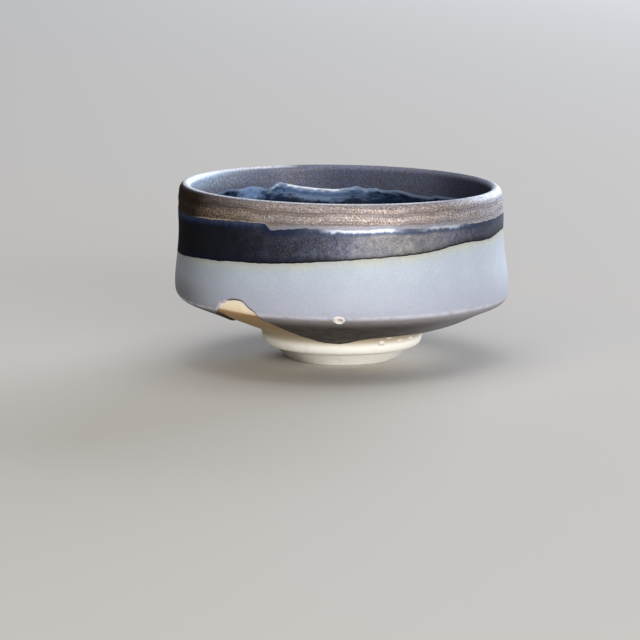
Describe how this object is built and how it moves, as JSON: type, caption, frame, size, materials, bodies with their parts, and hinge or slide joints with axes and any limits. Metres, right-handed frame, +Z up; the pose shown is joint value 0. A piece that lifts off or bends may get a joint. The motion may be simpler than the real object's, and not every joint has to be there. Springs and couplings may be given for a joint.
{
  "type": "sake cup",
  "caption": "Wide hand-thrown stoneware sake cup on a stepped foot, with a bronze rim, a dark band, a pale lower coat and a blue bowl, for drinking.",
  "frame": {"origin": "middle of the foot ring, on the surface that the cup stands on", "axes": "+Z up along the axis the cup was thrown on, -Y towards the side with the finger mark and the glaze run, +X to the right of that side"},
  "size_m": [0.0771, 0.0773, 0.0408],
  "materials": {
    "stoneware_clay": "bare fired stoneware, dry and cream coloured, flashed orange along the keel",
    "pale_glaze": "satin pale blue-grey glaze with fine dark specks",
    "dark_glaze": "satin navy glaze with brown mottling and a metallic sheen",
    "bronze_glaze": "rough metallic brown glaze over throwing rings",
    "blue_glaze": "glossy deep blue glaze with a milky fringe at its edge",
    "clear_glaze": "glossy clear to white glaze drops"
  },
  "bodies": {
    "root": {"clay_body": "stoneware_clay", "pale_glaze_coat": "pale_glaze", "dark_glaze_band": "dark_glaze", "bronze_rim_glaze": "bronze_glaze", "well_glaze": "blue_glaze", "glaze_bubble": "clear_glaze", "foot_drip_1": "clear_glaze", "foot_drip_2": "clear_glaze", "foot_drip_3": "clear_glaze", "foot_drip_4": "clear_glaze"}
  },
  "joints": []
}
